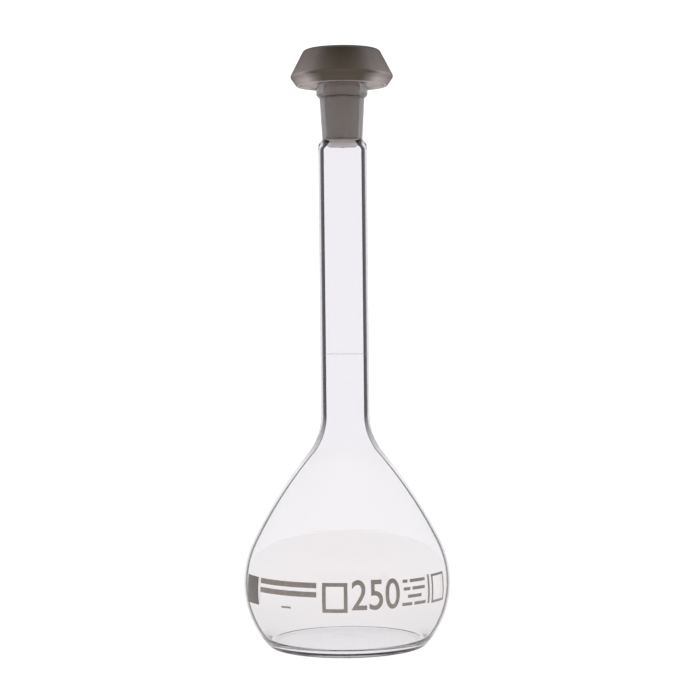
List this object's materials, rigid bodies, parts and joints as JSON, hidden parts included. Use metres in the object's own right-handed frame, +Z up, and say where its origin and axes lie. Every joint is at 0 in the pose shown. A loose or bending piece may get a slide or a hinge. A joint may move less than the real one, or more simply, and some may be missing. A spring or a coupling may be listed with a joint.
{
  "type": "volumetric flask",
  "caption": "Clear glass volumetric flask with a long neck, graduation ring, rounded bulb and a lift-out plastic stopper in a tapered ground socket.",
  "frame": {"origin": "centre of the base, on the plane that the flask stands on", "axes": "+Z up the flask's axis to the stopper, -Y towards the printed front, +X to the right seen from the front"},
  "size_m": [0.0812, 0.0812, 0.2341],
  "materials": {
    "clear_glass": "clear, fire polished",
    "ground_glass": "clear outside, ground inside",
    "enamel": "fired grey-brown print",
    "plug_plastic": "satin translucent",
    "head_plastic": "satin"
  },
  "bodies": {
    "flask": {"bulb": "clear_glass", "neck_tube": "clear_glass", "ground_socket": "ground_glass", "ring_mark": "enamel", "writing_patch": "enamel"},
    "stopper": {"stopper_plug": "plug_plastic", "stopper_head": "head_plastic"}
  },
  "joints": [
    {"name": "stopper_lift", "type": "slide", "parent": "flask", "child": "stopper", "axis": [0, 0, 1], "range_m": [0, 0.06]}
  ]
}
